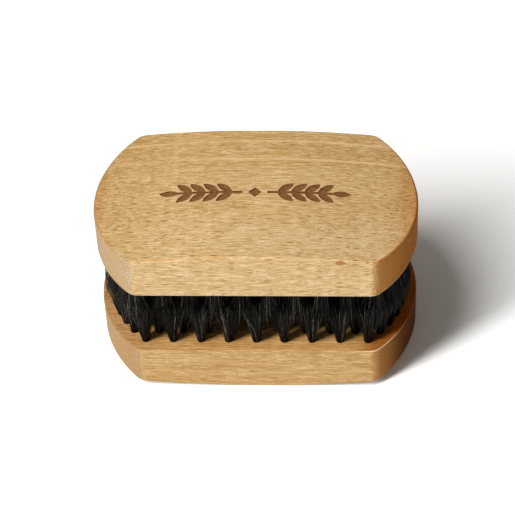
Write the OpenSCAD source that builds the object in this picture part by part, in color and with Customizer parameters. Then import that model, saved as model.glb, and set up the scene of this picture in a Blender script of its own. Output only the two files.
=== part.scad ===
// Pair of staple-set palm brushes for a beard, stored one on the other with their bristles meshed.
// Each brush is a solid wooden block with drilled blind holes. Every hole holds one tuft of bristle,
// folded over a small flat metal anchor. Frame: +Z up, origin under the middle of the lower brush,
// +X along the brushes, -Y the front.

/* [Block] */
// Length of a block between the crowns of its bowed ends
block_l = 115; // [105:1:125]
// Width of a block across its straight sides
block_w = 64.6; // [62:0.2:68]
// Thickness of a block at the middle of its back
block_t = 19.3; // [16:0.1:24]
// Radius of the bowed ends in plan
end_r = 42.5; // [40:0.5:48]
// Radius of the four corners in plan
corner_r = 5.5; // [4:0.1:12]
// Fall of the crowned back from its middle to each end
back_fall = 4.5; // [2:0.1:6]
// Length along X of the flat land that a brush stands on
land_l = 20; // [10:1:30]

/* [Bristle field] */
// Distance between two rows of tufts
row_pitch = 4.32; // [4.2:0.01:4.4]
// Radius of the arc that the row ends follow
field_r = 35.1; // [34:0.1:36]
// Distance of that arc's centre from the middle of the brush
field_x = 17.5; // [16:0.1:18.5]
// Number of tufts in each row, from the front of the lower brush to its back
row_counts = [9, 11, 11, 12, 12, 13, 12, 13, 12, 12, 11, 11, 10]; // [8:1:13]
// Diameter of a drilled hole
hole_d = 2.6; // [2.4:0.1:2.8]
// Depth of a hole, without its drill point
hole_depth = 9; // [7:0.5:10]

/* [Tufts] */
// Free length of the bristles above the wood
bristle_l = 18.5; // [17:0.5:20]
// Height above the wood at which a tuft's core reaches its tip size
taper_h = 8; // [4:0.5:8]
// Gap between a tuft and the wall of its hole
tuft_play = 0.05; // [0.03:0.01:0.1]

/* [Anchors] */
// Width of an anchor, across its hole
anchor_w = 2.5; // [2.2:0.05:2.5]
// Height of an anchor, along its hole
anchor_h = 2.2; // [1.5:0.1:3]
// Thickness of the anchor strip
anchor_t = 0.35; // [0.25:0.05:0.4]
// Bristle left under the anchor, where the bunch folds round it
fold_h = 1.4; // [1:0.1:2]

/* [Pair] */
// Distance between the two bristle faces when the brushes are stored
face_gap = 28.5; // [27:0.5:30]

/* [Engraving] */
// Width of the engraved sprig
sprig_l = 68; // [50:1:74]
// Number of leaf pairs on each half of the sprig, before its end leaf
leaf_pairs = 4; // [2:1:4]
// Length of one leaf
leaf_l = 7.2; // [5:0.1:7.6]
// Radius of a leaf's two edges
leaf_r = 5.2; // [4.4:0.1:7]
// Depth of the engraving below the crowned back
engrave_d = 0.4; // [0.2:0.1:0.8]

/* [Hidden] */
$fn = 96;
end_fn = 192;
crown_fn = 720;
eps = 0.01;
over = 1;

rows = len(row_counts);
names = [for (i = [0 : rows - 1]) str(i < 9 ? "0" : "", i + 1)];

beech = "burlywood";
bristle = "#222220";
steel = "silver";

// Plan outline: the bowed ends have their centres on the X axis, and each corner is an arc
// that runs smoothly into a straight side and a bowed end.
end_x = block_l / 2 - end_r;
corner_y = block_w / 2 - corner_r;
corner_x = end_x + sqrt((end_r - corner_r) ^ 2 - corner_y ^ 2);
end_angle = atan2(corner_y, corner_x - end_x);

// The crown of the back is one large cylinder about a line along Y. It meets the flat land
// at land_l / 2 and has fallen by back_fall at the ends.
land_x = land_l / 2;
crown_c = ((block_l / 2) ^ 2 - land_x ^ 2 + back_fall ^ 2) / (2 * back_fall);
crown_r = sqrt(crown_c ^ 2 + land_x ^ 2);

// Tufts: a core is slim where the other brush's rows pass, half a pitch away from its own. Each
// core takes up to a quarter pitch, less half of the gap that is left between the two.
hole_r = hole_d / 2;
drill_slope = 31;
drill_point = hole_r * tan(drill_slope);
tuft_r = hole_r - tuft_play;
tuft_gap = 0.26;
tip_r = row_pitch / 4 - tuft_gap / 2;
tip_round = 0.4;
anchor_play = 0.04;
anchor_mid_z = -hole_depth + fold_h + anchor_h / 2;

// Sprig: a lozenge in the middle, then on each half a stem with leaves in pairs and one at its end
lozenge_side = 3.4;
lozenge_gap = 1;
stem_w = 1.1;
stem_x = lozenge_side + lozenge_gap;
leaf_tilt = 38;
first_leaf_x = 8;
end_leaf_x = sprig_l / 2 - leaf_l;

// The field sits a quarter pitch towards the front, so that a brush turned over about X
// puts its rows midway between the rows of the other.
function row_y(i) = (i - (rows - 1) / 2 - 1 / 4) * row_pitch;
function row_half(i) = field_x + sqrt(field_r ^ 2 - row_y(i) ^ 2);
function tuft_x(i, k) = row_half(i) * (2 * k / (row_counts[i] - 1) - 1);

// ---- Parts of one brush. Its bristle face is at z = 0 and its back points down. ----

module outline() {
    square([2 * corner_x, block_w], center = true);
    for (sx = [-1, 1]) {
        intersection() {
            translate([sx * end_x, 0]) circle(r = end_r, $fn = end_fn);
            polygon([
                [sx * end_x, 0],
                [sx * (end_x + end_r), -end_r * tan(end_angle)],
                [sx * (end_x + end_r), end_r * tan(end_angle)]
            ]);
        }
        for (sy = [-1, 1])
            translate([sx * corner_x, sy * corner_y]) circle(r = corner_r);
    }
}

module crown(cut = 0) {
    translate([0, 0, -block_t + crown_c])
        rotate([90, 0, 0])
            cylinder(r = crown_r - cut, h = block_w + 2 * over, center = true, $fn = crown_fn);
}

module drilled_hole() {
    rotate_extrude()
        polygon([
            [0, -hole_depth - drill_point],
            [hole_r, -hole_depth],
            [hole_r, over],
            [0, over]
        ]);
}

module row_places(i) {
    for (k = [0 : row_counts[i] - 1])
        translate([tuft_x(i, k), row_y(i), 0]) children();
}

module block() {
    difference() {
        intersection() {
            translate([0, 0, -block_t]) linear_extrude(block_t) outline();
            crown();
        }
        for (i = [0 : rows - 1]) row_places(i) drilled_hole();
    }
}

module tuft() {
    difference() {
        rotate_extrude()
            polygon([
                [0, -hole_depth],
                [tuft_r, -hole_depth],
                [tuft_r, 0],
                [tip_r, taper_h],
                [tip_r, bristle_l - tip_round],
                [tip_r - tip_round, bristle_l],
                [0, bristle_l]
            ]);
        translate([0, 0, anchor_mid_z])
            cube([hole_d + over, anchor_t + 2 * anchor_play, anchor_h + 2 * anchor_play], center = true);
    }
}

module anchor() {
    translate([0, 0, anchor_mid_z])
        cube([anchor_w, anchor_t, anchor_h], center = true);
}

// ---- Engraved sprig ----

module leaf() {
    // Two arcs that meet in a point at each end, lying along +X from the origin
    off = sqrt(leaf_r ^ 2 - (leaf_l / 2) ^ 2);
    translate([leaf_l / 2, 0])
        intersection() {
            translate([0, off]) circle(r = leaf_r);
            translate([0, -off]) circle(r = leaf_r);
        }
}

module sprig() {
    pitch = (end_leaf_x - first_leaf_x) / leaf_pairs;
    rotate(45) square(lozenge_side, center = true);
    for (s = [-1, 1])
        mirror([s < 0 ? 1 : 0, 0]) {
            translate([stem_x, -stem_w / 2]) square([end_leaf_x - stem_x, stem_w]);
            translate([end_leaf_x - eps, 0]) leaf();
            for (j = [0 : leaf_pairs - 1], side = [-1, 1])
                translate([first_leaf_x + j * pitch, 0]) rotate(side * leaf_tilt) leaf();
        }
}

module engraving() {
    difference() {
        translate([0, 0, -block_t - over])
            linear_extrude(over + back_fall + engrave_d) sprig();
        crown(cut = engrave_d);
    }
}

// ---- The two brushes in their stored places ----

module in_lower_place() {
    translate([0, 0, block_t]) children();
}

module in_upper_place() {
    translate([0, 0, block_t + face_gap]) rotate([180, 0, 0]) children();
}

module lower_block() {
    color(beech) in_lower_place() block();
}

module upper_block() {
    color(beech) in_upper_place() difference() {
        block();
        engraving();
    }
}

module lower_tufts(i) {
    color(bristle) in_lower_place() row_places(i) tuft();
}

module upper_tufts(i) {
    color(bristle) in_upper_place() row_places(i) tuft();
}

module lower_anchors(i) {
    color(steel) in_lower_place() row_places(i) anchor();
}

module upper_anchors(i) {
    color(steel) in_upper_place() row_places(i) anchor();
}

lower_block();
upper_block();
for (i = [0 : rows - 1]) {
    lower_tufts(i);
    lower_anchors(i);
    upper_tufts(i);
    upper_anchors(i);
}
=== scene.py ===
# Two palm brushes for a beard, stored face to face. The wooden blocks and the bristle tufts are
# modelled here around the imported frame; the steel anchors in the holes stay as CAD parts.
# Metres throughout, +Z up, the front of the brushes towards -Y.

import math

import bmesh
import bpy
import numpy as np
from mathutils import Matrix, Vector


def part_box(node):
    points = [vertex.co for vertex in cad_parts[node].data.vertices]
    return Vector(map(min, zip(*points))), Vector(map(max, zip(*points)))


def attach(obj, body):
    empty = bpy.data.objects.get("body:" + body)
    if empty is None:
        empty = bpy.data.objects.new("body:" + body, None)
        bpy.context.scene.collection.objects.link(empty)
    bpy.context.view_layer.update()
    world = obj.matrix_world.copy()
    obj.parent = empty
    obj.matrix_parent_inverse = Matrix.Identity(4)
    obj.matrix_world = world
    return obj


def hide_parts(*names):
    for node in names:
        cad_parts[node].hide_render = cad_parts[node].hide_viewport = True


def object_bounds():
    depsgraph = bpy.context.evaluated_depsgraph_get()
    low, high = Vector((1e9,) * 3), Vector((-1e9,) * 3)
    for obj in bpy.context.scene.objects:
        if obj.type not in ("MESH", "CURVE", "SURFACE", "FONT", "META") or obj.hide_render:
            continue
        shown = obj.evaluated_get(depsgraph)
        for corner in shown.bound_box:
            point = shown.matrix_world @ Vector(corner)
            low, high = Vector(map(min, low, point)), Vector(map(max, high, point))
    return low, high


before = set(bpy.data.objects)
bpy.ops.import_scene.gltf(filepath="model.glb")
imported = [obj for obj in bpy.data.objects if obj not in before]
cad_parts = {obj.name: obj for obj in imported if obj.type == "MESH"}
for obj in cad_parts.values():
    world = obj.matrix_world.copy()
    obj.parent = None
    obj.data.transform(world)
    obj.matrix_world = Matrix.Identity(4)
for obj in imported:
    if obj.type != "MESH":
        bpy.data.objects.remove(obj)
cad_low, cad_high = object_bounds()

MM = 0.001
BRUSHES = ("lower", "upper")
ROWS = sum(name.startswith("lower_tufts_row_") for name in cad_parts)

# ---- Sizes read from the frame ----

lower_low, lower_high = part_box("lower_block")
upper_low, upper_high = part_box("upper_block")
FACE_Z = {"lower": lower_high.z, "upper": upper_low.z}
BLOCK_T = lower_high.z - lower_low.z
HALF_L = lower_high.x
HALF_W = lower_high.y
BRISTLE_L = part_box("lower_tufts_row_01")[1].z - FACE_Z["lower"]

# ---- Block shape, with the same driving sizes as the CAD block ----

END_R = 42.5 * MM
CORNER_R = 5.5 * MM
BACK_FALL = 4.5 * MM
# Half the length of the flat land in the middle of the back
LAND = 10.0 * MM
# Radii that only the visual blocks have, round the edge of the back and of the bristle face
BACK_EDGE_R = 0.9 * MM
FACE_EDGE_R = 0.35 * MM

END_X = HALF_L - END_R
CORNER_Y = HALF_W - CORNER_R
CORNER_X = END_X + math.sqrt((END_R - CORNER_R) ** 2 - CORNER_Y ** 2)
END_ANGLE = math.atan2(CORNER_Y, CORNER_X - END_X)
CROWN_C = (HALF_L ** 2 - LAND ** 2 + BACK_FALL ** 2) / (2 * BACK_FALL)
CROWN_R = math.hypot(CROWN_C, LAND)

# How finely a block is meshed: steps along a bowed end, a corner and a straight side, across the
# block, round its back edge and face edge, and up its sides
END_STEPS = 40
CORNER_STEPS = 16
SIDE_STEPS = 56
ACROSS_STEPS = 40
BACK_EDGE_STEPS = 8
FACE_EDGE_STEPS = 4
LEVELS = 10

# Edges that turn by more than this are shaded as creases, and large faces stay flat
CREASE_ANGLE = math.radians(35)
FLAT_WEIGHT = 60

# ---- Drilled holes ----

HOLE_R = 1.3 * MM
HOLE_DEPTH = 9.0 * MM
HOLE_SIDES = 28
DRILL_POINT = 0.78 * MM
# Width of the broken rim at a hole's mouth, and how far the cutter stands above the wood
RIM = 0.17 * MM
CUT_ABOVE = 1.0 * MM

# ---- Bristles ----

# In each tuft: its bristles, their sides, their stations and their radius, and the turn of the
# cross-section from one bristle to the next
STRANDS = 110
STRAND_SIDES = 3
STRAND_RINGS = 5
STRAND_R = 0.100 * MM
STRAND_TWIST = 1.7
# Thickness along a bristle: where, and what part of its full radius
TAPER_AT = [0, 0.6, 1]
TAPER_TO = [1, 0.92, 0.62]
# Radius of a tuft at its root, the root's depth in the hole, and how many times wider the tip is
ROOT_R = 1.14 * MM
ROOT_DEPTH = 1.0 * MM
FAN_LEAST = 2.6
FAN_MOST = 5.2
# Spread of the roots, the tips, the bow in the middle, the curl at the tip, and the length
ROOT_SPREAD = 0.05 * MM
TIP_SPREAD = 0.45 * MM
BOW_SPREAD = 0.16 * MM
CURL_SPREAD = 0.50 * MM
LENGTH_SPREAD = 0.45 * MM
# Shares of stray, short and grey bristles, and what makes a stray or short one
STRAY_SHARE = 0.08
STRAY_MORE = 3.5
SHORT_SHARE = 0.06
SHORT_LENGTH = 0.82
PALE_SHARE = 0.17
# The tips stay this far inside the block's ends and sides, and are slowed before they get there
END_MARGIN = 2.3 * MM
SIDE_MARGIN = 1.0 * MM
EDGE_ZONE = 2.0 * MM

# ---- Engraved sprig ----

SPRIG_HALF = 34.0 * MM
LEAF_L = 7.2 * MM
LEAF_R = 5.2 * MM
LEAF_TILT = math.radians(38)
LEAF_STEPS = 12
LEAF_PAIRS = 4
FIRST_LEAF = 8.0 * MM
STEM_W = 1.1 * MM
STEM_OVERLAP = 0.6 * MM
LOZENGE = 3.4 * MM
LOZENGE_GAP = 1.0 * MM
ENGRAVE_D = 0.4 * MM
# How far the sprig's cutter stands out of the back
CUT_BELOW = 2.0 * MM


def srgb(r, g, b):
    """Linear colour of an 8-bit sRGB triple."""
    def linear(v):
        v /= 255
        return v / 12.92 if v <= 0.04045 else ((v + 0.055) / 1.055) ** 2.4
    return (linear(r), linear(g), linear(b), 1.0)


# ---- Colours of the wood ----

WOOD_GOLD = srgb(180, 147, 93)
WOOD_PINK = srgb(196, 166, 122)
WOOD_FIBRE = srgb(160, 123, 73)
WOOD_PALE = srgb(214, 188, 147)
WOOD_FLECK = srgb(130, 66, 22)
WOOD_END = srgb(184, 150, 101)
WORN_BROWN = srgb(170, 112, 58)
# Painted highlight for the eased edge of the bristle face
PAINTED_EDGE_HIGHLIGHT = srgb(226, 204, 168)
MARK_BROWN = srgb(146, 90, 42)
HOLE_BROWN = srgb(120, 78, 40)
SCORCH = srgb(100, 56, 23)

# The tints below multiply a colour. First those over the back, and the darker tint near the tips of
# the ends, which at the right tip is painted shade.
TIP_TONE_AND_SHADE = (0.84, 0.62, 0.38, 1.0)
BACK_LEFT = (0.90, 0.87, 0.78, 1.0)
BACK_FAR = (0.94, 0.91, 0.86, 1.0)
BACK_NEAR = (1.02, 1.05, 1.10, 1.0)

# Those over the lower block's bristle face, which are painted shade under the upper block
FACE_MIDDLE = (0.98, 0.91, 0.80, 1.0)
FACE_LEFT = (0.83, 0.74, 0.70, 1.0)
FACE_RIGHT = (0.60, 0.34, 0.14, 1.0)
FACE_END = (1.00, 0.42, 0.10, 1.0)

# Those of the two blocks, which were cut from different boards, and of their sides: the front tint
# is painted light, and the end tints carry painted shade as well as the tone of the end grain
TINTS = {
    "upper": {"all": (1.0, 1.0, 1.0, 1.0), "front": (1.03, 1.09, 1.16, 1.0),
              "left": (0.66, 0.71, 0.86, 1.0), "far_left": (0.66, 0.80, 1.20, 1.0),
              "right": (0.97, 0.67, 0.34, 1.0), "far_right": (0.74, 0.49, 0.22, 1.0)},
    "lower": {"all": (0.89, 0.83, 0.71, 1.0), "front": (1.00, 1.03, 1.05, 1.0),
              "left": (0.68, 0.70, 0.84, 1.0), "far_left": (0.70, 0.92, 1.50, 1.0),
              "right": (1.0, 0.73, 0.44, 1.0), "far_right": (0.20, 0.10, 0.01, 1.0)},
}

# ---- Figure of the wood ----

# Where in the wood each block was cut, and whether its figure is plain all over
BOARD_OFFSET = {"lower": (0.31, 0.02, 0.11), "upper": (0.0, 0.0, 0.0)}
PLAIN = {"lower": 1.0, "upper": 0.0}

# A pattern is: squeeze along X, shift along X, scale, detail, roughness. What is seen of it is:
# the lowest and highest value of the noise, and the strength of the pattern there.
BANDS = (0.06, 0.0, 110.0, 2.0, 0.6)
BANDS_SEEN = (0.32, 0.68, 0.0, 1.0)
LONG_FIBRES = (0.016, 0.0, 1800.0, 2.0, 0.6)
LONG_SEEN = (0.40, 0.60, 0.0, 1.0)
BREAKS = (0.05, 0.2, 300.0, 1.0, 0.5)
BREAKS_SEEN = (0.3, 0.6, 0.0, 1.0)
# Short fibres, pale fibres and pores, each with its colour
FINE_PATTERNS = (
    ((0.09, 0.0, 2500.0, 2.0, 0.7), (0.46, 0.62, 0.0, 0.68), WOOD_FIBRE),
    ((0.07, 0.5, 2400.0, 2.0, 0.7), (0.46, 0.62, 0.0, 0.70), WOOD_PALE),
    ((0.45, 0.3, 3400.0, 1.0, 0.5), (0.42, 0.64, 0.0, 0.45), WOOD_FIBRE),
)

# Two sets of flecks: shift, squeeze along X and strength; then the size, shape and chance of one
FLECKS = (((0.0, 0.0, 0.0), 0.11, 0.95), ((0.7, 0.4, 0.3), 0.20, 0.80))
FLECK_SCALE = 1500.0
FLECK_SHAPE = (0.14, 0.34)
FLECK_CHANCE = (0.35, 0.98)

# Strength of the long fibres and of the flecks, where the figure is lively and where it is plain
LONG_STRENGTH = (0.35, 0.70)
FLECK_STRENGTH = (1.0, 0.55)

# The line along X that the growth rings run round, and how far they wander from a circle
PITH = (0.0, 12.0 * MM, -55.0 * MM)
RING_WANDER = 4.0 * MM
WANDER_SCALE = 60.0
RING_SCALE = 420.0
RINGS_SEEN = (0.48, 0.68, 0.0, 0.30)
SPECK_SCALE = 1600.0
SPECKS_SEEN = (0.48, 0.62, 0.0, 0.25)

# How far the slow sway and the fine ripple move the fibres sideways
SWAY_Y = 3.0 * MM
SWAY_Z = 2.5 * MM
SWAY_MEAN = 1.6 * MM
SWAY_SQUEEZE = (0.25, 1, 1)
SWAY_SCALE = 30.0
RIPPLE = 0.2 * MM
RIPPLE_SQUEEZE = (0.15, 1, 1)
RIPPLE_SCALE = 600.0

# From the middle towards the back of the brush the figure turns plain over this distance
PLAIN_FROM = (0.0, 14.0 * MM)

# Distances of the two long pale streaks from the middle of the brush, towards its back, and the
# distances from a streak's middle over which it fades
STREAK_Y = (26.0 * MM, 16.5 * MM)
STREAK_FADE = (0.1 * MM, 0.8 * MM)
STREAK_STRENGTH = 0.60

# A small brown mark where the upper block's back meets its front side
EDGE_MARK = (30.4 * MM, -HALF_W, upper_high.z - 2.5 * MM)
EDGE_MARK_SHAPE = (0.52, 0.60, 0.85)
EDGE_MARK_R = (0.8 * MM, 1.1 * MM)
EDGE_MARK_STRENGTH = 0.8

# Worn patches of the back's edge
WORN_SQUEEZE = (1.0, 0.1, 0.1)
WORN_SCALE = 190.0
WORN_SEEN = (0.44, 0.62, 0.0, 0.70)

# How much of the end grain's colour, the darker tips with the painted shade at the right one, and
# the painted highlight on the right corners shows
END_GRAIN_STRENGTH = 0.70
RIGHT_TIP_SHADE = 0.8
LEFT_TIP_DARK = 0.5
EDGE_HIGHLIGHT_STRENGTH = 0.55

# How much brown the wall of a hole takes, and the scorched bottom of the engraving
HOLE_STAIN = 0.45
SCORCH_SQUEEZE = (0.35, 1, 1)
SCORCH_SCALE = 1500.0
SCORCH_SEEN = (0.3, 0.7, 0.80, 0.97)

# ---- Ranges over which one look of a block changes into the next ----

# By distance from the bristle face: where the back begins, and the edge of the bristle face
NEAR_BACK = (10.0 * MM, 12.0 * MM)
NEAR_FACE = (0.3 * MM, 0.6 * MM)

# By place along X: the left of the back, and the darker left and right tips of a block, the right
# one with painted shade
BACK_LEFT_X = (-52.0 * MM, -22.0 * MM)
LEFT_TIP_X = (-57.0 * MM, -50.0 * MM)
RIGHT_TIP_X = (46.0 * MM, 57.5 * MM)
# The left, right and far right of the lower block's bristle face, where shade is painted, and the
# right corners with the painted highlight
FACE_LEFT_X = (-48.0 * MM, -30.0 * MM)
FACE_RIGHT_X = (33.0 * MM, 44.0 * MM)
FACE_END_X = (45.0 * MM, 51.0 * MM)
HIGHLIGHT_FROM_X = (36.0 * MM, 42.0 * MM)
HIGHLIGHT_TO_X = (47.0 * MM, 55.0 * MM)

# By place along Y: the far and the near part of the back
BACK_FAR_Y = (6.0 * MM, 22.0 * MM)
BACK_NEAR_Y = (-26.0 * MM, -8.0 * MM)

# By how far the surface faces along X or Y: end grain, the front side, and both ends and tips
END_GRAIN = (0.35, 0.80)
FRONT_SIDE = (-0.85, -0.50)
LEFT_END = (-0.50, -0.05)
LEFT_TIP = (-1.0, -0.80)
RIGHT_END = (0.05, 0.62)
RIGHT_TIP = (0.62, 0.93)
# By how level the surface is: flat faces, both limits of the rounded back edge, and the face edge
LEVEL = (0.6, 0.9)
STREAK_LEVEL = (0.5, 0.8)
BACK_EDGE_LOW = (0.40, 0.62)
BACK_EDGE_HIGH = (0.82, 0.96)
FACE_EDGE_HIGH = (0.90, 0.98)

# ---- Gloss and bump ----

WOOD_GLOSS = 0.10
SCORCH_GLOSS = 0.08
BRISTLE_GLOSS = 0.12
FLOOR_GLOSS = 0.10
# Roughness by the bump's height, and by how far the surface is an end of the block
FIBRE_ROUGH = (-0.8, 0.0, 0.62, 0.48)
END_ROUGH = (0.3, 0.8, 0.0, 0.92)
HOLE_ROUGH = 0.8
SCORCH_ROUGH = 0.75
BRISTLE_ROUGH = (0.3, 0.7, 0.34, 0.55)
STEEL_ROUGH = (0.3, 0.7, 0.3, 0.5)
FLOOR_ROUGH = 0.9
BUMP_DEPTH = 0.1 * MM
FIBRE_HEIGHT = -0.6
END_BUMP = (0.3, 0.7, 0.30, 0.10)
HOLE_BUMP = 0.4
SCORCH_BUMP = 0.5

# ---- Colours of the bristles, the steel and the floor ----

BLACK = (srgb(8, 8, 7), srgb(29, 27, 21))
GREY = (srgb(54, 52, 44), srgb(124, 119, 103))
# Painted shade on the bristles: what is kept of a bristle's colour towards the right end, and at
# that very end
BLACK_KEPT = 0.25
GREY_KEPT = 0.8
KEPT_AT_END = 0.20
SHADE_FROM_X = (0.0, 45.0 * MM)
DEEP_SHADE_FROM_X = (38.0 * MM, 50.0 * MM)
BRISTLE_SQUEEZE = (1, 1, 0.02)
BRISTLE_SCALE = 4200.0
BRISTLE_SEEN = (0.35, 0.75)
STEEL = (srgb(150, 150, 150), srgb(196, 196, 194))
STEEL_SQUEEZE = (0.1, 1, 1)
STEEL_SCALE = 9000.0
STEEL_SEEN = (0.3, 0.7)
FLOOR = ((0.93, 0.93, 0.93, 1), (0.95, 0.95, 0.95, 1))
FLOOR_SCALE = 900.0
FLOOR_SEEN = (0.3, 0.7)

# ---- Stage ----

CAMERA_AZIMUTH = math.radians(4.06)
CAMERA_ELEVATION = math.radians(46.0)
CAMERA_ROLL = math.radians(-2.74)
CAMERA_DISTANCE = 0.8068
LENS = 155.3
SENSOR = 36.0
SHIFT = (-0.0013, 0.0011)
CLIP = (0.01, 20.0)
# The key light: azimuth and elevation in degrees, distance, width and height in metres, watts
KEY = (215, 43, 2.8, 0.52, 3.30, 162.0)
AIM_HEIGHT = 0.03
WORLD_COLOUR = (1.0, 0.94, 0.84, 1.0)
WORLD_STRENGTH = 0.20
FLOOR_SIZE = 6.0
FLOOR_CELLS = 8
FLOOR_DROP = 0.02 * MM


# ---------------------------------------------------------------- materials

class Nodes:
    """A small helper that adds nodes to one material and links them by socket name."""

    def __init__(self, name):
        self.material = bpy.data.materials.new(name)
        self.material.use_nodes = True
        self.tree = self.material.node_tree
        self.tree.nodes.clear()
        self.out = self.tree.nodes.new("ShaderNodeOutputMaterial")

    def put(self, socket, value):
        """Links a socket to another one, or sets it to a value."""
        if isinstance(value, bpy.types.NodeSocket):
            self.tree.links.new(value, socket)
        else:
            socket.default_value = value

    def add(self, kind, inputs=None, **settings):
        node = self.tree.nodes.new("ShaderNode" + kind)
        for key, value in settings.items():
            setattr(node, key, value)
        for key, value in (inputs or {}).items():
            self.put(node.inputs[key], value)
        return node

    def math(self, operation, a, b=0.0):
        return self.add("Math", {0: a, 1: b}, operation=operation).outputs[0]

    def times(self, a, b):
        return self.math("MULTIPLY", a, b)

    def vector(self, operation, a, b):
        return self.add("VectorMath", {0: a, 1: b}, operation=operation).outputs[0]

    def length(self, vector):
        return self.add("VectorMath", {0: vector}, operation="LENGTH").outputs["Value"]

    def parts(self, vector):
        """The X, Y and Z parts of a vector."""
        node = self.add("SeparateXYZ", {"Vector": vector})
        return [node.outputs[k] for k in range(3)]

    def normal(self):
        """The X, Y and Z parts of the surface's normal."""
        return self.parts(self.add("TexCoord").outputs["Normal"])

    def object_space(self, offset=(0, 0, 0), scale=(1, 1, 1)):
        """Object coordinates, moved and then scaled along each axis."""
        coords = self.add("TexCoord").outputs["Object"]
        return self.vector("MULTIPLY", self.vector("ADD", coords, offset), scale)

    def noise(self, vector, scale, detail=2.0, roughness=0.5):
        node = self.add("TexNoise", {
            "Vector": vector, "Scale": scale, "Detail": detail,
            "Roughness": roughness, "Distortion": 0.0})
        return node.outputs["Fac"]

    def ramp(self, factor, low, high, to_low=0.0, to_high=1.0):
        """Smooth step of factor from low..high to to_low..to_high."""
        node = self.add("MapRange", {
            "Value": factor, "From Min": low, "From Max": high,
            "To Min": to_low, "To Max": to_high}, interpolation_type="SMOOTHSTEP")
        return node.outputs["Result"]

    def below(self, factor, low, high, most=1.0):
        """Smooth step down: most up to low, and nothing from high on."""
        return self.ramp(factor, low, high, most, 0.0)

    def mix(self, factor, a, b, blend="MIX"):
        node = self.add("Mix", data_type="RGBA", blend_type=blend)
        for index, value in ((0, factor), (6, a), (7, b)):
            self.put(node.inputs[index], value)
        return node.outputs[2]

    def tint(self, factor, colour, by):
        """Multiplies a colour by another as far as factor goes."""
        return self.mix(factor, colour, by, "MULTIPLY")

    def bump(self, height, strength):
        node = self.add("Bump", {"Height": height, "Strength": strength, "Distance": BUMP_DEPTH})
        return node.outputs["Normal"]

    def finish(self, inputs):
        """Ends the material in one Principled shader with these inputs."""
        shader = self.add("BsdfPrincipled", inputs)
        self.tree.links.new(shader.outputs["BSDF"], self.out.inputs["Surface"])
        return self.material


def flecks(n, bent, shift, squeeze, strength):
    """Short lens-shaped flecks: each cell of a Voronoi stretched along X holds one, some faint."""
    cells = n.vector("MULTIPLY", n.vector("ADD", bent, shift), (squeeze, 1.0, 1.0))
    voronoi = n.add("TexVoronoi", {"Vector": cells, "Scale": FLECK_SCALE, "Randomness": 1.0})
    chance = n.add("SeparateColor", {"Color": voronoi.outputs["Color"]}).outputs[0]
    shape = n.below(voronoi.outputs["Distance"], *FLECK_SHAPE)
    return n.times(shape, n.ramp(chance, *FLECK_CHANCE, 0.0, strength))


def growth_rings(n, offset):
    """Thin late-wood lines of rings about a pith that lies along X, well below the board, with
    small specks between them."""
    out = n.vector("SUBTRACT", n.object_space(offset), PITH)
    radius = n.length(n.vector("MULTIPLY", out, (0.0, 1.0, 1.0)))
    wander = n.times(n.noise(out, WANDER_SCALE), RING_WANDER)
    line = n.add("CombineXYZ", {"X": n.math("ADD", radius, wander)}).outputs[0]
    rings = n.ramp(n.noise(line, RING_SCALE, 1.0), *RINGS_SEEN)
    specks = n.ramp(n.noise(n.object_space(offset), SPECK_SCALE, 2.0, 0.7), *SPECKS_SEEN)
    return n.math("MAXIMUM", rings, specks)


def wood_colour(n, offset, plain):
    """Beech: fibres along X, slow bands, a few long pale streaks and many short brown flecks.
    Long fibres and faint flecks show towards the back, and all over where plain is 1.
    Returns the colour and a height for the bump."""
    sway = n.noise(n.object_space(offset, SWAY_SQUEEZE), SWAY_SCALE)
    ripple = n.noise(n.object_space(offset, RIPPLE_SQUEEZE), RIPPLE_SCALE, 1.0)
    ripple = n.times(ripple, RIPPLE)
    lift = n.add("CombineXYZ", {
        "Y": n.math("ADD", n.times(sway, SWAY_Y), ripple),
        "Z": n.math("ADD", n.times(sway, SWAY_Z), ripple)})
    bent = n.vector("ADD", n.object_space(offset), lift.outputs[0])
    y = n.math("SUBTRACT", n.parts(bent)[1], offset[1] + SWAY_MEAN)
    quiet = n.ramp(y, *PLAIN_FROM, plain, 1.0)

    def figure(squeeze, shift, scale, detail, roughness):
        """A noise that follows the fibres, squeezed along X so that its pattern is drawn out."""
        moved = n.vector("ADD", bent, (shift, 0, 0))
        return n.noise(n.vector("MULTIPLY", moved, (squeeze, 1, 1)), scale, detail, roughness)

    colour = n.mix(n.ramp(figure(*BANDS), *BANDS_SEEN), WOOD_GOLD, WOOD_PINK)
    long_fibres = figure(*LONG_FIBRES)
    lines = n.times(n.ramp(long_fibres, *LONG_SEEN), n.ramp(quiet, 0.0, 1.0, *LONG_STRENGTH))
    colour = n.mix(lines, colour, WOOD_FIBRE)
    for pattern, seen, shade in FINE_PATTERNS:
        colour = n.mix(n.ramp(figure(*pattern), *seen), colour, shade)

    streaks = n.times(n.ramp(figure(*BREAKS), *BREAKS_SEEN), n.ramp(n.normal()[2], *STREAK_LEVEL))
    for middle in STREAK_Y:
        away = n.math("ABSOLUTE", n.math("SUBTRACT", y, middle))
        streak = n.times(n.below(away, *STREAK_FADE, STREAK_STRENGTH), streaks)
        colour = n.mix(streak, colour, WOOD_PALE)

    dark = n.math("MAXIMUM", *(flecks(n, bent, *kind) for kind in FLECKS))
    dark = n.times(dark, n.ramp(quiet, 0.0, 1.0, *FLECK_STRENGTH))
    colour = n.mix(dark, colour, WOOD_FLECK)
    height = n.math("SUBTRACT", n.times(long_fibres, FIBRE_HEIGHT), dark)
    return colour, height


def worn_back_edge(n, offset, colour, level, from_face):
    """The rounded edge of the back: brown where the sanding cut through the flecks."""
    edge = n.times(n.ramp(level, *BACK_EDGE_LOW), n.below(level, *BACK_EDGE_HIGH))
    back_edge = n.times(edge, n.ramp(from_face, *NEAR_BACK))
    patches = n.noise(n.object_space(offset, WORN_SQUEEZE), WORN_SCALE, 3.0, 0.7)
    worn = n.ramp(patches, *WORN_SEEN)
    return n.mix(n.times(back_edge, worn), colour, WORN_BROWN)


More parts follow.
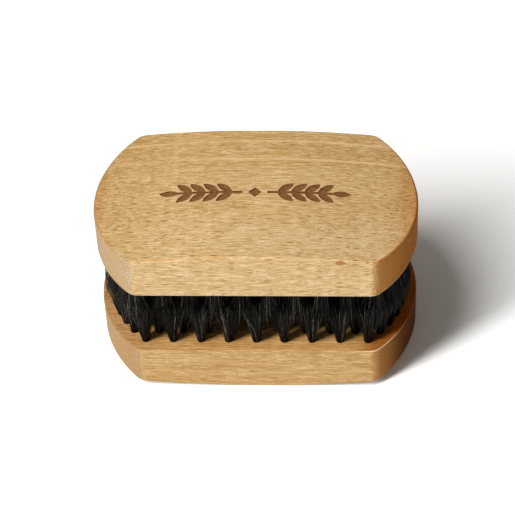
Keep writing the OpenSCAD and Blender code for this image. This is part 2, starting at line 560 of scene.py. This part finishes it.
def board_tints(n, colour, tints, x, y, level, towards_back, from_face):
    """Slow changes of colour over the back, and painted light on the front side, which is made
    lighter and less yellow.
    """
    # Painted light: the front side is made lighter, standing in for the light that falls on it
    colour = n.tint(n.below(towards_back, *FRONT_SIDE), colour, tints["front"])
    on_back = n.times(n.ramp(level, *LEVEL), n.ramp(from_face, *NEAR_BACK))
    for part, tint in ((n.below(x, *BACK_LEFT_X), BACK_LEFT),
                       (n.ramp(y, *BACK_FAR_Y), BACK_FAR),
                       (n.below(y, *BACK_NEAR_Y), BACK_NEAR)):
        colour = n.tint(n.times(part, on_back), colour, tint)
    return colour


def end_grain_and_painted_shade(n, colour, tints, facing):
    """End grain tint with painted shade: greyer and darker on the left ends, where the key light
    falls most, and browner and much darker on the right ones, which stand in shade.
    """
    left = n.mix(n.below(facing, *LEFT_TIP), tints["left"], tints["far_left"])
    colour = n.tint(n.below(facing, *LEFT_END), colour, left)
    right = n.mix(n.ramp(facing, *RIGHT_TIP), tints["right"], tints["far_right"])
    return n.tint(n.ramp(facing, *RIGHT_END), colour, right)


def beech(brush, offset):
    """The sanded outside of one block."""
    n = Nodes(f"beech_{brush}")
    tints = TINTS[brush]
    colour, height = wood_colour(n, offset, PLAIN[brush])
    x, y, z = n.parts(n.object_space())
    facing, towards_back, up = n.normal()
    sideways = n.math("ABSOLUTE", facing)
    level = n.math("ABSOLUTE", up)
    from_face = n.math("ABSOLUTE", n.math("SUBTRACT", z, FACE_Z[brush]))

    end_grain = n.ramp(sideways, *END_GRAIN)
    colour = n.mix(n.times(end_grain, END_GRAIN_STRENGTH), colour, WOOD_END)
    colour = n.tint(1.0, colour, tints["all"])
    colour = n.mix(n.times(end_grain, growth_rings(n, offset)), colour, WOOD_FLECK)
    colour = worn_back_edge(n, offset, colour, level, from_face)
    if brush == "upper":
        away = n.length(n.object_space([-v for v in EDGE_MARK], EDGE_MARK_SHAPE))
        colour = n.mix(n.below(away, *EDGE_MARK_R, EDGE_MARK_STRENGTH), colour, MARK_BROWN)
    colour = board_tints(n, colour, tints, x, y, level, towards_back, from_face)
    # Painted shade on the ends: the left ends darkened against the light, the right ends dark brown
    colour = end_grain_and_painted_shade(n, colour, tints, facing)

    # Painted shade at the right tip: the tips are darker and redder, most at the right
    tips_and_shade = n.tint(n.ramp(x, *RIGHT_TIP_X, 0.0, RIGHT_TIP_SHADE), colour, TIP_TONE_AND_SHADE)
    tips_and_shade = n.tint(n.below(x, *LEFT_TIP_X, LEFT_TIP_DARK), tips_and_shade, TIP_TONE_AND_SHADE)
    if brush == "lower":
        # Painted shade on the bristle face under the upper block: browner and darker towards both
        # ends, deepest at the right
        shade = n.mix(n.below(x, *FACE_LEFT_X), FACE_MIDDLE, FACE_LEFT)
        shade = n.mix(n.ramp(x, *FACE_RIGHT_X), shade, FACE_RIGHT)
        shade = n.mix(n.ramp(x, *FACE_END_X), shade, FACE_END)
        tips_and_shade = n.mix(n.ramp(up, *LEVEL), tips_and_shade, n.tint(1.0, colour, shade))
    # Painted highlight: the edge of the bristle face is made pale at the right corners, as a glint
    # of light on the eased edge
    face_edge = n.times(n.below(from_face, *NEAR_FACE), n.below(level, *FACE_EDGE_HIGH))
    near_corner = n.times(n.ramp(x, *HIGHLIGHT_FROM_X), n.below(x, *HIGHLIGHT_TO_X, EDGE_HIGHLIGHT_STRENGTH))
    colour = n.mix(n.times(face_edge, near_corner), tips_and_shade, PAINTED_EDGE_HIGHLIGHT)

    rough = n.math("MAXIMUM", n.ramp(height, *FIBRE_ROUGH), n.ramp(sideways, *END_ROUGH))
    return n.finish({
        "Base Color": colour, "Roughness": rough, "Specular IOR Level": WOOD_GLOSS,
        "Normal": n.bump(height, n.ramp(sideways, *END_BUMP))})


def hole_wall(brush, offset):
    """The darker wood inside the drilled holes."""
    n = Nodes(f"drilled_beech_{brush}")
    colour, height = wood_colour(n, offset, 1.0)
    return n.finish({
        "Base Color": n.mix(HOLE_STAIN, colour, HOLE_BROWN), "Roughness": HOLE_ROUGH,
        "Specular IOR Level": WOOD_GLOSS, "Normal": n.bump(height, HOLE_BUMP)})


def burnt(offset):
    """Wood at the bottom of the engraving, browned by the burning tool."""
    n = Nodes("engraved_beech")
    colour, height = wood_colour(n, offset, 0.0)
    scorch = n.noise(n.object_space(offset, SCORCH_SQUEEZE), SCORCH_SCALE, 3.0, 0.7)
    colour = n.mix(n.ramp(scorch, *SCORCH_SEEN), colour, SCORCH)
    return n.finish({
        "Base Color": colour, "Roughness": SCORCH_ROUGH, "Specular IOR Level": SCORCH_GLOSS,
        "Normal": n.bump(height, SCORCH_BUMP)})


def bristle(name, shades, kept_in_shade):
    """Boar bristle between two shades: each fibre a little different, satin along its length.
    The last argument is what is kept of its colour towards the right end of the brush, where shade
    is painted on."""
    n = Nodes(name)
    fibre = n.noise(n.object_space(scale=BRISTLE_SQUEEZE), BRISTLE_SCALE)
    colour = n.mix(n.ramp(fibre, *BRISTLE_SEEN), *shades)
    x = n.parts(n.object_space())[0]
    # Painted shade: the bristles are darker towards the right end of the brush
    for zone, kept in ((SHADE_FROM_X, kept_in_shade), (DEEP_SHADE_FROM_X, KEPT_AT_END)):
        colour = n.tint(n.ramp(x, *zone), colour, (kept, kept, kept, 1.0))
    return n.finish({
        "Base Color": colour, "Roughness": n.ramp(fibre, *BRISTLE_ROUGH),
        "Specular IOR Level": BRISTLE_GLOSS})


def steel(name):
    """Brushed strip steel of the anchors."""
    n = Nodes(name)
    brushed = n.noise(n.object_space(scale=STEEL_SQUEEZE), STEEL_SCALE)
    colour = n.mix(n.ramp(brushed, *STEEL_SEEN), *STEEL)
    return n.finish({
        "Base Color": colour, "Metallic": 1.0, "Roughness": n.ramp(brushed, *STEEL_ROUGH)})


# ---------------------------------------------------------------- wooden blocks

def arc(centre, radius, start, end, steps):
    """Stations on one arc: its centre, an outward direction and its radius."""
    for k in range(steps):
        angle = start + (end - start) * k / steps
        yield centre, (math.cos(angle), math.sin(angle)), radius


def front_stations():
    """Stations of the front half of the outline, from the left tip to the right tip."""
    down = -math.pi / 2
    left = [*arc((-END_X, 0), END_R, -math.pi, -math.pi + END_ANGLE, END_STEPS),
            *arc((-CORNER_X, -CORNER_Y), CORNER_R, -math.pi + END_ANGLE, down, CORNER_STEPS)]
    side = [((CORNER_X * (2 * k / SIDE_STEPS - 1), 0), (0.0, -1.0), HALF_W)
            for k in range(SIDE_STEPS + 1)]
    right = [((-c[0], c[1]), (-d[0], d[1]), r) for c, d, r in reversed(left)]
    return left + side + right


STATIONS = front_stations()


def inset_point(station, inset):
    """The point of the outline at one station, moved inwards by inset."""
    (cx, cy), (dx, dy), radius = station
    reach = radius - inset
    return cx + dx * reach, cy + dy * reach


def back_z(x):
    """Height of the crowned back below the bristle face, which is at z = 0."""
    if abs(x) <= LAND:
        return -BLOCK_T
    return -BLOCK_T + CROWN_C - math.sqrt(CROWN_R ** 2 - x ** 2)


def side_z(x, t):
    """Height on a block's side, a part t of the way from its back edge to its face edge."""
    return (1 - t) * (back_z(x) + BACK_EDGE_R) - t * FACE_EDGE_R


def closed_mesh(mesh, name):
    """Turns a bmesh of closed solids into mesh data, with every face looking outwards."""
    bmesh.ops.recalc_face_normals(mesh, faces=mesh.faces)
    data = bpy.data.meshes.new(name)
    mesh.to_mesh(data)
    mesh.free()
    return data


def block_mesh(name):
    """One closed block in the brush frame: bristle face at z = 0, back below it."""
    mesh = bmesh.new()
    last = len(STATIONS) - 1

    def loop(inset, height):
        """A ring of vertices: the front half left to right, then the back half right to left."""
        front = [inset_point(s, inset) for s in STATIONS]
        ring = [mesh.verts.new((x, y, height(x))) for x, y in front]
        ring += [mesh.verts.new((x, -y, height(x))) for x, y in reversed(front[1:last])]
        return ring

    rings = []
    for k in range(BACK_EDGE_STEPS + 1):
        a = math.pi / 2 * k / BACK_EDGE_STEPS
        inset = BACK_EDGE_R * (1 - math.sin(a))
        drop = BACK_EDGE_R * (1 - math.cos(a))
        rings.append(loop(inset, lambda x, d=drop: back_z(x) + d))
    for k in range(1, LEVELS):
        rings.append(loop(0.0, lambda x, t=k / LEVELS: side_z(x, t)))
    for k in range(FACE_EDGE_STEPS + 1):
        a = math.pi / 2 * k / FACE_EDGE_STEPS
        inset = FACE_EDGE_R * (1 - math.cos(a))
        drop = FACE_EDGE_R * (1 - math.sin(a))
        rings.append(loop(inset, lambda x, d=drop: -d))

    count = len(rings[0])
    for a, b in zip(rings, rings[1:]):
        for i in range(count):
            j = (i + 1) % count
            mesh.faces.new((a[i], a[j], b[j], b[i]))

    def cap(ring, height, flip):
        """Fills a ring with a grid: one line of vertices across the block at each station."""
        lines = []
        for i in range(last + 1):
            low = ring[i]
            high = ring[(count - i) % count]
            if low is high:
                lines.append([low])
                continue
            x, y0, y1 = low.co.x, low.co.y, high.co.y
            inner = [mesh.verts.new((x, y0 + (y1 - y0) * k / ACROSS_STEPS, height(x)))
                     for k in range(1, ACROSS_STEPS)]
            lines.append([low, *inner, high])
        for a, b in zip(lines, lines[1:]):
            for k in range(ACROSS_STEPS):
                corners = [a[min(k, len(a) - 1)], b[min(k, len(b) - 1)],
                           b[min(k + 1, len(b) - 1)], a[min(k + 1, len(a) - 1)]]
                corners = list(dict.fromkeys(corners))
                if flip:
                    corners.reverse()
                mesh.faces.new(corners)

    cap(rings[0], back_z, True)
    cap(rings[-1], lambda x: 0.0, False)
    for face in mesh.faces:
        face.smooth = True
    return closed_mesh(mesh, name)


def place(brush):
    """The matrix that puts the brush frame in its stored place. The upper brush is turned over
    about X."""
    lift = Matrix.Translation((0, 0, FACE_Z[brush]))
    return lift if brush == "lower" else lift @ Matrix.Rotation(math.pi, 4, "X")


def tuft_centres(brush, node):
    """Centres of the tufts of one row in the brush frame. The tufts are the separate clumps of
    the row's CAD solids along X."""
    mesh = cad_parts[node].data
    co = np.zeros(len(mesh.vertices) * 3, np.float32)
    mesh.vertices.foreach_get("co", co)
    co = co.reshape(-1, 3)
    xs = np.sort(co[:, 0])
    breaks = np.where(np.diff(xs) > HOLE_R)[0]
    starts = np.concatenate([[0], breaks + 1])
    ends = np.concatenate([breaks, [len(xs) - 1]])
    y = (co[:, 1].min() + co[:, 1].max()) / 2
    to_brush = place(brush).inverted()
    centres = [to_brush @ Vector(((xs[s] + xs[e]) / 2, y, FACE_Z[brush]))
               for s, e in zip(starts, ends)]
    return [(centre.x, centre.y) for centre in centres]


def row_nodes(brush, kind):
    """Names of one brush's CAD nodes of a kind, row by row."""
    return [f"{brush}_{kind}_row_{i:02d}" for i in range(1, ROWS + 1)]


def link(name, data, *materials):
    """Puts mesh data into the scene as an object with these materials."""
    piece = bpy.data.objects.new(name, data)
    bpy.context.scene.collection.objects.link(piece)
    for material in materials:
        piece.data.materials.append(material)
    return piece


def revolve(mesh, profile, centre, sides):
    """Adds a closed solid of revolution about a line along Z. The profile ends on the axis."""
    rings = []
    for r, z in profile:
        if r == 0:
            rings.append([mesh.verts.new((centre[0], centre[1], z))])
            continue
        rings.append([mesh.verts.new((centre[0] + r * math.cos(a), centre[1] + r * math.sin(a), z))
                      for a in (math.tau * k / sides for k in range(sides))])
    for low, high in zip(rings, rings[1:]):
        for k in range(sides):
            corners = [low[k % len(low)], low[(k + 1) % len(low)],
                       high[(k + 1) % len(high)], high[k % len(high)]]
            mesh.faces.new(list(dict.fromkeys(corners)))


def hole_cutter(centres):
    """The space of every drilled hole, with a small broken rim at its mouth."""
    mesh = bmesh.new()
    profile = [(0, -HOLE_DEPTH - DRILL_POINT), (HOLE_R, -HOLE_DEPTH), (HOLE_R, -RIM),
               (HOLE_R + RIM, 0.0), (HOLE_R + RIM + CUT_ABOVE, CUT_ABOVE), (0, CUT_ABOVE)]
    for centre in centres:
        revolve(mesh, profile, centre, HOLE_SIDES)
    return closed_mesh(mesh, "hole_cutter")


def leaf_outline(at, tilt):
    """Points of one leaf that starts at x = at: two equal arcs that meet at both ends."""
    half = LEAF_L / 2
    off = math.sqrt(LEAF_R ** 2 - half ** 2)
    sweep = math.asin(half / LEAF_R)
    points = []
    for side in (1, -1):
        for k in range(LEAF_STEPS):
            a = -sweep + 2 * sweep * k / LEAF_STEPS
            points.append((half + side * LEAF_R * math.sin(a), side * (LEAF_R * math.cos(a) - off)))
    c, s = math.cos(tilt), math.sin(tilt)
    return [(at + x * c - y * s, x * s + y * c) for x, y in points]


def box_outline(x0, x1, half):
    """Points of a bar along X that reaches half to each side."""
    return [(x0, -half), (x1, -half), (x1, half), (x0, half)]


def sprig_outlines():
    """The lozenge, then the stem and leaves on the right, and their mirror image on the left."""
    end_leaf = SPRIG_HALF - LEAF_L
    spacing = (end_leaf - FIRST_LEAF) / LEAF_PAIRS
    half = [box_outline(LOZENGE + LOZENGE_GAP, end_leaf + STEM_OVERLAP, STEM_W / 2),
            leaf_outline(end_leaf, 0.0)]
    for k in range(LEAF_PAIRS):
        for side in (1, -1):
            half.append(leaf_outline(FIRST_LEAF + k * spacing, side * LEAF_TILT))
    reach = LOZENGE / math.sqrt(2)
    lozenge = [(reach, 0), (0, reach), (-reach, 0), (0, -reach)]
    return [lozenge] + half + [[(-x, y) for x, y in reversed(part)] for part in half]


def prisms(outlines, floor, top):
    """Closed prisms, one on each outline, whose bottoms follow the function floor(x)."""
    mesh = bmesh.new()
    for outline in outlines:
        count = len(outline)
        bottom = [mesh.verts.new((x, y, floor(x))) for x, y in outline]
        lid = [mesh.verts.new((x, y, top)) for x, y in outline]
        mesh.faces.new(list(reversed(bottom)))
        mesh.faces.new(lid)
        for i in range(count):
            j = (i + 1) % count
            mesh.faces.new((bottom[i], bottom[j], lid[j], lid[i]))
    return closed_mesh(mesh, "prisms")


def carve(piece, cutter_data, material, overlapping=False):
    """Cuts a mesh out of a piece and leaves the cutter's material on the cut faces."""
    cutter = link("cutter", cutter_data, material)
    cut = piece.modifiers.new("cut", "BOOLEAN")
    cut.operation = "DIFFERENCE"
    cut.solver = "EXACT"
    cut.use_self = overlapping
    cut.material_mode = "TRANSFER"
    cut.object = cutter
    graph = bpy.context.evaluated_depsgraph_get()
    result = bpy.data.meshes.new_from_object(piece.evaluated_get(graph))
    piece.modifiers.clear()
    piece.data = result
    bpy.data.objects.remove(cutter)
    bpy.data.meshes.remove(cutter_data)


def crisp(piece):
    """Marks the creases and keeps large flat faces flat when shaded."""
    mesh = bmesh.new()
    mesh.from_mesh(piece.data)
    for face in mesh.faces:
        face.smooth = True
    for edge in mesh.edges:
        edge.smooth = len(edge.link_faces) != 2 or edge.calc_face_angle(0) < CREASE_ANGLE
    mesh.to_mesh(piece.data)
    mesh.free()
    weighted = piece.modifiers.new("flat_faces", "WEIGHTED_NORMAL")
    weighted.keep_sharp = True
    weighted.weight = FLAT_WEIGHT


def make_block(brush):
    """One wooden block: drilled, engraved if it is the upper one, and put in its place."""
    offset = BOARD_OFFSET[brush]
    name = f"{brush}_wood"
    piece = link(name, block_mesh(name), beech(brush, offset))
    centres = [centre for node in row_nodes(brush, "tufts") for centre in tuft_centres(brush, node)]
    carve(piece, hole_cutter(centres), hole_wall(brush, offset))
    if brush == "upper":
        sprig = prisms(sprig_outlines(), lambda x: back_z(x) + ENGRAVE_D, -BLOCK_T - CUT_BELOW)
        carve(piece, sprig, burnt(offset), overlapping=True)
    piece.data.transform(place(brush))
    crisp(piece)
    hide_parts(f"{brush}_block")
    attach(piece, f"{brush}_brush")


# ---------------------------------------------------------------- bristles

def kept_in(points):
    """Draws points that fan out past the edge of the block back towards it."""
    edge = np.array([HALF_L - END_MARGIN, HALF_W - SIDE_MARGIN]) - EDGE_ZONE
    reach = np.abs(points)
    past = np.maximum(reach - edge, 0)
    kept = np.minimum(reach, edge) + EDGE_ZONE * np.tanh(past / EDGE_ZONE)
    return np.sign(points) * kept


def tuft_strands(random, x, y):
    """Centre lines of one tuft's bristles in the brush frame: an array (strand, ring, xyz)."""
    k = np.arange(STRANDS) + 0.5
    radius = ROOT_R * np.sqrt(k / STRANDS)
    angle = k * math.pi * (3 - math.sqrt(5)) + random.uniform(0, math.tau)
    root = np.stack([radius * np.cos(angle), radius * np.sin(angle)], 1)
    root += random.normal(0, ROOT_SPREAD, root.shape)
    fan = random.uniform(FAN_LEAST, FAN_MOST, (STRANDS, 1))
    tip = root * fan + random.normal(0, TIP_SPREAD, root.shape)
    bow = random.normal(0, BOW_SPREAD, root.shape)
    curl = random.normal(0, CURL_SPREAD, root.shape)
    curl[random.random(STRANDS) < STRAY_SHARE] *= STRAY_MORE
    length = BRISTLE_L - np.abs(random.normal(0, LENGTH_SPREAD, STRANDS))
    length[random.random(STRANDS) < SHORT_SHARE] *= SHORT_LENGTH
    lines = np.zeros((STRANDS, STRAND_RINGS + 1, 3))
    for ring, s in enumerate(np.linspace(0, 1, STRAND_RINGS + 1)):
        across = root + (tip - root) * s + bow * math.sin(math.pi * s) + curl * s ** 3
        lines[:, ring, :2] = kept_in(across + (x, y))
        lines[:, ring, 2] = -ROOT_DEPTH + (length + ROOT_DEPTH) * s
    return lines


def strand_mesh(name, lines, pale, turned):
    """Tapered closed tubes round many centre lines, all in one mesh, then turned into place. A
    strand takes the second material where pale is true."""
    count, points = lines.shape[:2]
    rings = points - 1
    thick = STRAND_R * np.interp(np.arange(rings) / rings, TAPER_AT, TAPER_TO)
    turn = np.arange(STRAND_SIDES) * math.tau / STRAND_SIDES
    twist = np.arange(count)[:, None] * STRAND_TWIST
    circle = np.stack([np.cos(turn[None] + twist), np.sin(turn[None] + twist)], 2)
    per = rings * STRAND_SIDES + 1
    verts = np.zeros((count, per, 3))
    for r in range(rings):
        block = lines[:, None, r, :].repeat(STRAND_SIDES, 1).copy()
        block[:, :, :2] += circle * thick[r]
        verts[:, r * STRAND_SIDES:(r + 1) * STRAND_SIDES] = block
    verts[:, -1] = lines[:, -1]

    faces = [tuple(reversed(range(STRAND_SIDES)))]
    for r in range(rings - 1):
        for s in range(STRAND_SIDES):
            t = (s + 1) % STRAND_SIDES
            a, b = r * STRAND_SIDES, (r + 1) * STRAND_SIDES
            faces.append((a + s, a + t, b + t, b + s))
    for s in range(STRAND_SIDES):
        a = (rings - 1) * STRAND_SIDES
        faces.append((a + s, a + (s + 1) % STRAND_SIDES, per - 1))
    sizes = np.array([len(f) for f in faces])
    corners = np.concatenate([np.array(f) for f in faces])

    data = bpy.data.meshes.new(name)
    data.vertices.add(count * per)
    data.vertices.foreach_set("co", verts.reshape(-1))
    all_corners = (corners[None] + np.arange(count)[:, None] * per).reshape(-1)
    all_sizes = np.tile(sizes, count)
    data.loops.add(len(all_corners))
    data.loops.foreach_set("vertex_index", all_corners.astype(np.int32))
    data.polygons.add(len(all_sizes))
    starts = np.concatenate([[0], np.cumsum(all_sizes)[:-1]])
    data.polygons.foreach_set("loop_start", starts.astype(np.int32))
    data.polygons.foreach_set("use_smooth", np.ones(len(all_sizes), bool))
    data.polygons.foreach_set("material_index", pale.astype(np.int32).repeat(len(sizes)))
    data.update(calc_edges=True)
    data.validate()
    data.transform(turned)
    return data


def make_tufts(brush, black, grey):
    """The bristles of one brush, one piece for each row, each with its own seed."""
    for index, node in enumerate(row_nodes(brush, "tufts")):
        random = np.random.default_rng(100 * BRUSHES.index(brush) + index)
        lines = np.concatenate([tuft_strands(random, x, y) for x, y in tuft_centres(brush, node)])
        pale = random.random(len(lines)) < PALE_SHARE
        name = f"{brush}_bristles_{index + 1:02d}"
        piece = link(name, strand_mesh(name, lines, pale, place(brush)), black, grey)
        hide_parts(node)
        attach(piece, f"{brush}_brush")


# ---------------------------------------------------------------- stage

def make_camera():
    """The long-lens view from above the front that shows the back, the front and both ends."""
    aim = Vector((0, 0, (cad_low.z + cad_high.z) / 2))
    level = math.cos(CAMERA_ELEVATION)
    back = Vector((math.sin(CAMERA_AZIMUTH) * level,
                   -math.cos(CAMERA_AZIMUTH) * level, math.sin(CAMERA_ELEVATION)))
    right = Vector((math.cos(CAMERA_AZIMUTH), math.sin(CAMERA_AZIMUTH), 0))
    up = back.cross(right)
    c, s = math.cos(CAMERA_ROLL), math.sin(CAMERA_ROLL)
    turned = Matrix([right * c + up * s, up * c - right * s, back]).transposed().to_4x4()
    data = bpy.data.cameras.new("camera")
    data.lens = LENS
    data.sensor_width = SENSOR
    data.shift_x, data.shift_y = SHIFT
    data.clip_start, data.clip_end = CLIP
    camera = bpy.data.objects.new("camera", data)
    camera.matrix_world = Matrix.Translation(aim + back * CAMERA_DISTANCE) @ turned
    bpy.context.scene.collection.objects.link(camera)
    bpy.context.scene.camera = camera


def soft_light(name, azimuth, elevation, distance, width, height, power):
    """A rectangular light aimed at the brushes. Azimuth is counted from +X, anticlockwise."""
    a, e = math.radians(azimuth), math.radians(elevation)
    way = Vector((math.cos(a) * math.cos(e), math.sin(a) * math.cos(e), math.sin(e)))
    data = bpy.data.lights.new(name, "AREA")
    data.shape = "RECTANGLE"
    data.size = width
    data.size_y = height
    data.energy = power
    lamp = bpy.data.objects.new(name, data)
    lamp.location = Vector((0, 0, AIM_HEIGHT)) + way * distance
    lamp.rotation_mode = "QUATERNION"
    lamp.rotation_quaternion = way.to_track_quat("Z", "Y")
    bpy.context.scene.collection.objects.link(lamp)


def make_floor():
    """A plain white floor, just under the brushes."""
    mesh = bmesh.new()
    bmesh.ops.create_grid(mesh, x_segments=FLOOR_CELLS, y_segments=FLOOR_CELLS, size=FLOOR_SIZE)
    data = bpy.data.meshes.new("floor")
    mesh.to_mesh(data)
    mesh.free()
    n = Nodes("floor_white")
    grit = n.noise(n.object_space(), FLOOR_SCALE)
    colour = n.mix(n.ramp(grit, *FLOOR_SEEN), *FLOOR)
    paper = n.finish({
        "Base Color": colour, "Roughness": FLOOR_ROUGH, "Specular IOR Level": FLOOR_GLOSS})
    floor = link("floor", data, paper)
    floor.location.z = cad_low.z - FLOOR_DROP


def make_world():
    """A faint warm fill from all round."""
    world = bpy.data.worlds.new("studio")
    world.use_nodes = True
    background = world.node_tree.nodes["Background"]
    background.inputs["Color"].default_value = WORLD_COLOUR
    background.inputs["Strength"].default_value = WORLD_STRENGTH
    bpy.context.scene.world = world


# ---------------------------------------------------------------- assembly

bpy.context.scene.view_settings.view_transform = "Standard"
make_camera()
make_world()
make_floor()
soft_light("key", *KEY)

black_bristle = bristle("black_bristle", BLACK, BLACK_KEPT)
grey_bristle = bristle("grey_bristle", GREY, GREY_KEPT)
anchor_steel = steel("anchor_steel")
for brush in BRUSHES:
    make_block(brush)
    make_tufts(brush, black_bristle, grey_bristle)
    for node in row_nodes(brush, "anchors"):
        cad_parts[node].data.materials.clear()
        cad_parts[node].data.materials.append(anchor_steel)
